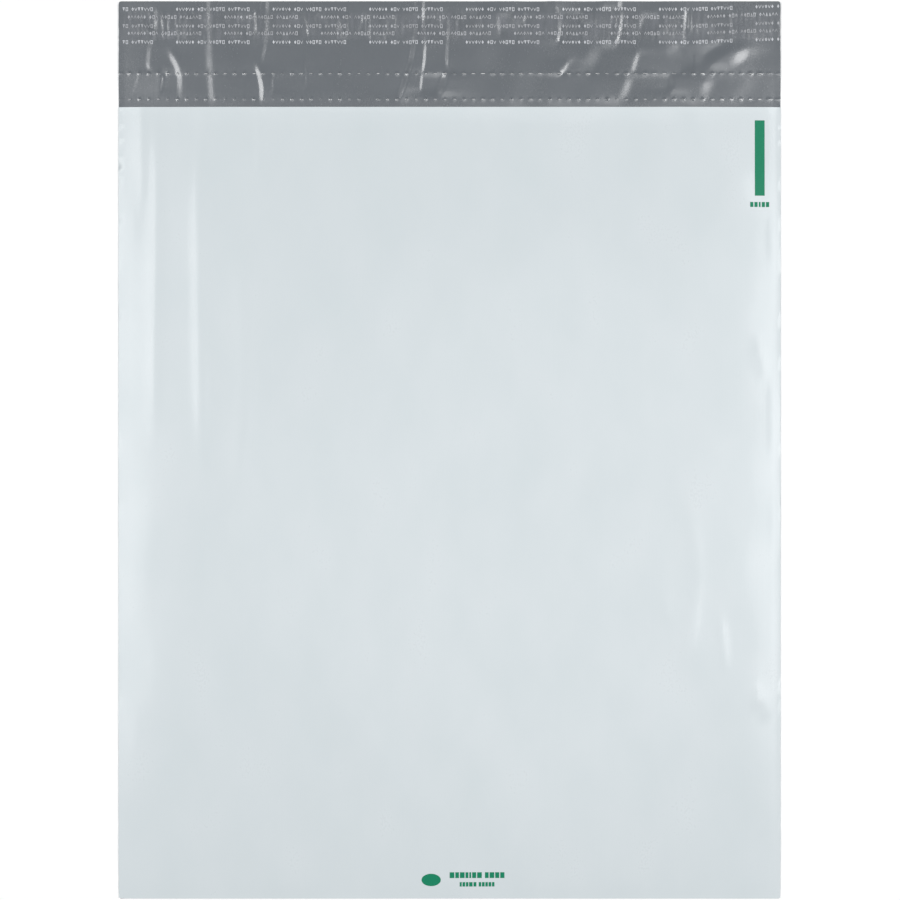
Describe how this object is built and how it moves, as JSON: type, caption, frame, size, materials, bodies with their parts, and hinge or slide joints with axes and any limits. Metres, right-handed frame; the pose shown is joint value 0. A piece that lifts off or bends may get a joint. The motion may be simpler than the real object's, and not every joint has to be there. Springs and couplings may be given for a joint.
{
  "type": "poly mailer bag",
  "caption": "Open, empty poly mailer bag lying flat, white outside and grey inside, with a perforated sealing flap, an adhesive strip and a clear release liner.",
  "frame": {"origin": "centre of the bag's footprint, at the underside of the back panel", "axes": "+X across the bag, +Y from the folded bottom to the flap, +Z out of the front panel"},
  "size_m": [0.3302, 0.4476, 0.0078],
  "materials": {
    "film": "co-extruded polyethylene film, glossy white outside and grey inside",
    "adhesive": "clear hot-melt adhesive, hazy and finely crinkled over the grey film",
    "liner": "clear glossy release film with rows of small white printed marks"
  },
  "bodies": {
    "root": {"mailer_film": "film", "adhesive_strip": "adhesive", "release_liner": "liner"}
  },
  "joints": []
}
